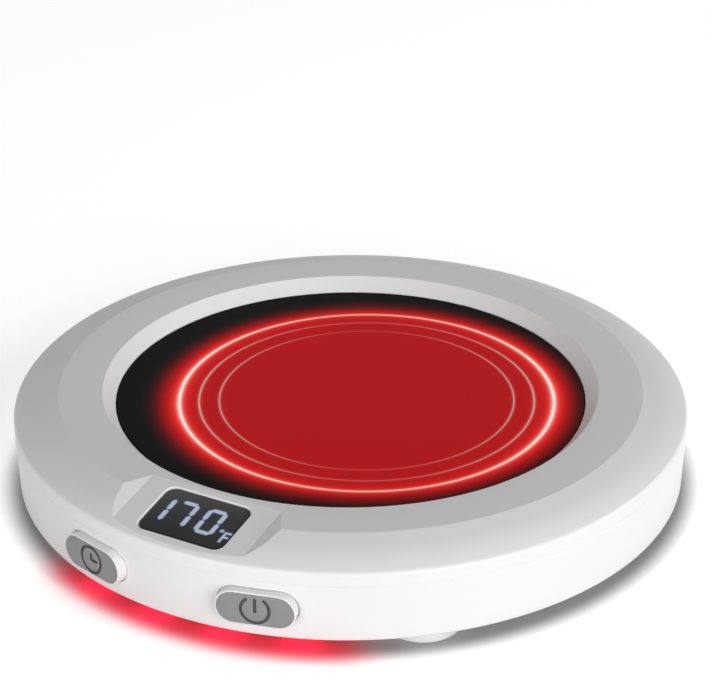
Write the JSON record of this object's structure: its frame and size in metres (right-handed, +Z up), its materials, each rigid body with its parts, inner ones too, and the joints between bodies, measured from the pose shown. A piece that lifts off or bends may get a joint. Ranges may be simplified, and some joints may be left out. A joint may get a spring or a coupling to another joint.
{
  "type": "electric mug warmer",
  "caption": "Low round electric mug warmer: white casing, black heated plate, sloped temperature display, power and timer push buttons on the wall, lit strip under the front edge",
  "frame": {"origin": "on the casing's vertical axis, at the level of the foot pads' undersides", "axes": "+Z is up; the display and the buttons face -Y, the supply lead leaves towards +Y; +X is to the right when seen from the front"},
  "size_m": [0.13, 0.1322, 0.0191],
  "materials": {
    "casing_white": "satin to gloss moulded white",
    "foot_silicone": "pale silicone, matte",
    "plate_black": "black, very fine texture, satin",
    "button_grey": "matte grey",
    "window_black": "polished near-black lens",
    "digit_lit": "lit pale blue-white",
    "glow_lens_red": "frosted, lit red",
    "light_chip": "clear over a pale chip",
    "seal_silicone": "matte",
    "heater_foil": "foil with a printed track",
    "insulation_wool": "matte ceramic wool",
    "pan_steel": "pressed sheet, dull",
    "terminal_brass": "plain",
    "screw_steel": "zinc plated",
    "sensor_metal": "satin",
    "light_block_white": "matte white",
    "board_green": "solder mask, satin",
    "component_black": "moulded, matte",
    "connector_cream": "natural nylon",
    "gland_rubber": "pale, matte",
    "clamp_plastic": "matte",
    "wire_heater": "silicone insulation, red",
    "wire_signal": "insulation, dark"
  },
  "bodies": {
    "housing": {"top_shell": "casing_white", "base_shell": "casing_white", "heating_plate": "plate_black", "plate_seal": "seal_silicone", "heater_element": "heater_foil", "insulation_pad": "insulation_wool", "heater_clamp": "pan_steel", "heater_terminals": "terminal_brass", "clamp_screws": "screw_steel", "temperature_sensor": "sensor_metal", "thermal_fuse": "sensor_metal", "fuse_clip": "pan_steel", "display_window": "window_black", "display_digits": "digit_lit", "light_block": "light_block_white", "display_board": "board_green", "display_screws": "screw_steel", "power_switch": "component_black", "power_switch_board": "board_green", "timer_switch": "component_black", "timer_switch_board": "board_green", "glow_lens": "glow_lens_red", "glow_board": "board_green", "glow_lights": "light_chip", "control_board": "board_green", "microcontroller": "component_black", "capacitors": "component_black", "triac": "component_black", "connectors": "connector_cream", "board_screws": "screw_steel", "heater_leads": "wire_heater", "sensor_leads": "wire_heater", "display_leads": "wire_signal", "switch_leads": "wire_signal", "glow_leads": "wire_signal", "foot_right": "foot_silicone", "foot_rear": "foot_silicone", "foot_left": "foot_silicone", "housing_screws": "screw_steel", "cord_gland": "gland_rubber", "cord_clamp": "clamp_plastic", "cord_clamp_screws": "screw_steel"},
    "power_button": {"power_button": "casing_white", "power_button_face": "button_grey", "power_switch_plunger": "connector_cream"},
    "timer_button": {"timer_button": "casing_white", "timer_button_face": "button_grey", "timer_switch_plunger": "connector_cream"}
  },
  "joints": [
    {"name": "power_button_press", "type": "slide", "parent": "housing", "child": "power_button", "axis": [-0.2554, 0.9668, 0], "range_m": [0, 0.0006], "stiffness_N_per_m": 1500},
    {"name": "timer_button_press", "type": "slide", "parent": "housing", "child": "timer_button", "axis": [0.2554, 0.9668, 0], "range_m": [0, 0.0006], "stiffness_N_per_m": 1500}
  ]
}
